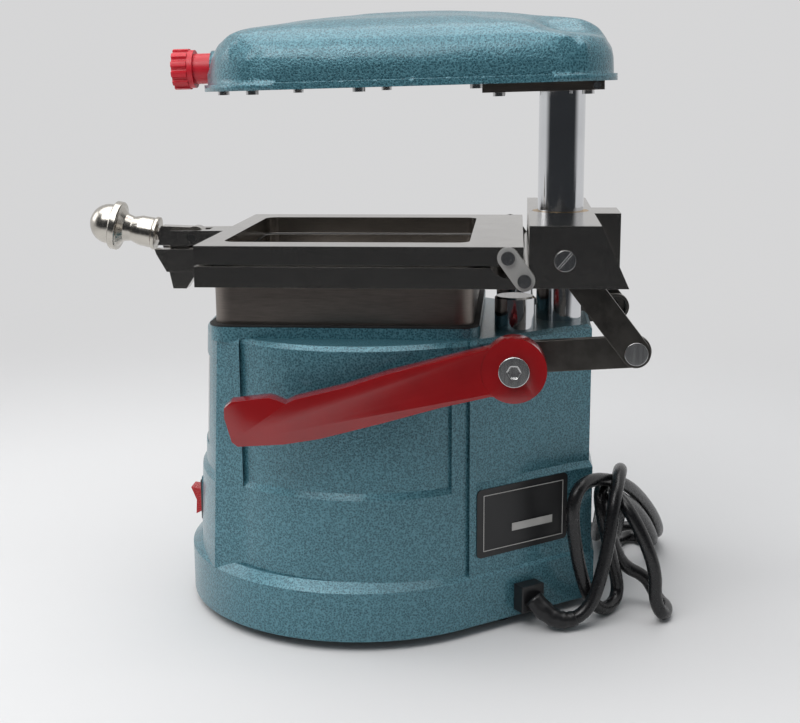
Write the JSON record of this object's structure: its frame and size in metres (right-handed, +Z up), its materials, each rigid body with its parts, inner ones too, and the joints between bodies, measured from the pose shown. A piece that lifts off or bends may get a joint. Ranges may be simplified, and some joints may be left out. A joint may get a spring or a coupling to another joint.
{
  "type": "vacuum former",
  "caption": "Tabletop vacuum former: heater head on a column, clamp frame on a lever-driven carriage, vacuum box on a hammertone base, mains cord",
  "frame": {"origin": "middle of the machine's outline on the floor it stands on, measured without the mains cord", "axes": "+Z up along the column, -Y to the front (clamp knob and switches), +X to the right-hand side where the lever is"},
  "size_m": [0.1949, 0.2952, 0.2864],
  "materials": {
    "base_paint": "teal-blue hammertone paint",
    "nickel_casting": "nickel-plated sand casting",
    "chrome_bar": "polished chrome",
    "chamber_alloy": "brushed cast alloy",
    "steel_plate": "satin steel",
    "steel_screws": "bright zinc",
    "red_handle": "glossy red enamel",
    "red_knob": "glossy red plastic",
    "polished_knob": "polished nickel",
    "panel_foil": "printed aluminium",
    "black_plate": "black printed plate",
    "black_plastic": "moulded black plastic",
    "rocker_red": "red rocker",
    "seal_rubber": "black rubber",
    "cord_rubber": "black PVC",
    "bronze": "sintered bronze",
    "ceramic": "white ceramic",
    "element_metal": "oxidised steel sheath",
    "reflector_metal": "bright sheet"
  },
  "bodies": {
    "base": {"base_body": "base_paint", "bottom_cover": "steel_plate", "bottom_cover_screws": "steel_screws", "rubber_feet": "seal_rubber", "foot_screws": "steel_screws", "front_panel": "panel_foil", "rating_plate": "black_plate", "switch_bezels": "black_plastic", "chamber_gasket": "seal_rubber", "vacuum_chamber": "chamber_alloy", "perforated_plate": "chamber_alloy", "rim_gasket": "seal_rubber", "chamber_screws": "steel_screws", "motor_housing": "chamber_alloy", "motor_bearings": "steel_screws", "motor_seal": "seal_rubber", "motor_screws": "steel_screws", "column": "chrome_bar", "column_nut": "steel_screws", "terminal_block": "black_plastic", "heater_lead": "cord_rubber", "bearing_pillars": "chrome_bar", "shaft_bushes": "bronze", "cord_gland": "black_plastic", "cord_lead": "cord_rubber", "cord_hank": "cord_rubber", "cord_tail": "cord_rubber", "power_plug": "black_plastic"},
    "heat_switch": {"rocker_heat": "rocker_red"},
    "vacuum_switch": {"rocker_vacuum": "rocker_red"},
    "rotor": {"motor_rotor": "steel_plate"},
    "lever": {"lever_handle": "red_handle", "lever_shaft": "steel_plate", "crank_arms": "steel_plate", "hub_screw": "steel_screws"},
    "link_pair": {"links": "steel_plate", "link_pins": "steel_screws"},
    "slide": {"carriage": "nickel_casting", "carriage_bushes": "bronze", "lower_plate_screws": "steel_screws", "pivot_screws": "steel_screws", "lower_plate": "nickel_casting", "lower_gasket": "seal_rubber", "lower_hinge_screws": "steel_screws"},
    "hinge_pair": {"hinge_plates": "steel_plate"},
    "upper_frame": {"upper_plate": "nickel_casting", "upper_gasket": "seal_rubber", "upper_hinge_screws": "steel_screws", "latch_pin": "steel_screws"},
    "latch": {"latch_lever": "nickel_casting", "latch_knob": "polished_knob"},
    "head": {"head_shell": "base_paint", "heater_plate": "steel_plate", "reflector": "reflector_metal", "heating_element": "element_metal", "element_insulators": "ceramic", "head_bracket": "chamber_alloy", "clamp_bolt": "steel_screws", "head_screws": "steel_screws", "head_knob": "red_knob"}
  },
  "joints": [
    {"name": "lever_turn", "type": "hinge", "parent": "base", "child": "lever", "pos_m": [-0.00675, 0.07527, 0.1325], "axis": [1, 0, 0], "range_deg": [0, 43.9]},
    {"name": "carriage_slide", "type": "slide", "parent": "base", "child": "slide", "axis": [0, 0, 1], "range_m": [0, 0.0457]},
    {"name": "link_swing", "type": "hinge", "parent": "slide", "child": "link_pair", "pos_m": [-0.00675, 0.09677, 0.17783], "axis": [-1, 0, 0], "range_deg": [0, 18.66]},
    {"name": "hinge_link_rock", "type": "hinge", "parent": "slide", "child": "hinge_pair", "pos_m": [-0.00675, 0.07937, 0.1692], "axis": [-1, 0, 0], "range_deg": [0, 3]},
    {"name": "frame_open", "type": "hinge", "parent": "hinge_pair", "child": "upper_frame", "pos_m": [-0.00675, 0.07217, 0.1792], "axis": [-1, 0, 0], "range_deg": [0, 19]},
    {"name": "latch_turn", "type": "hinge", "parent": "upper_frame", "child": "latch", "pos_m": [-0.00675, -0.08263, 0.1801], "axis": [-1, 0, 0], "range_deg": [0, 40]},
    {"name": "head_swivel", "type": "hinge", "parent": "base", "child": "head", "pos_m": [-0.00675, 0.09677, 0.262], "axis": [0, 0, 1], "range_deg": [-90, 90]},
    {"name": "rocker_heat_press", "type": "hinge", "parent": "base", "child": "heat_switch", "pos_m": [0.01025, -0.07723, 0.0505], "axis": [1, 0, 0], "range_deg": [-18, 0]},
    {"name": "rocker_vacuum_press", "type": "hinge", "parent": "base", "child": "vacuum_switch", "pos_m": [-0.02375, -0.07723, 0.0505], "axis": [1, 0, 0], "range_deg": [-18, 0]},
    {"name": "motor_spin", "type": "hinge", "parent": "base", "child": "rotor", "pos_m": [-0.00675, -0.00023, 0.083], "axis": [0, 0, 1], "continuous": true}
  ],
  "couplings": [
    {"joint": "carriage_slide", "follows": "lever_turn", "m_per_rad": 0.059645},
    {"joint": "link_swing", "follows": "lever_turn", "ratio": 0.425}
  ]
}
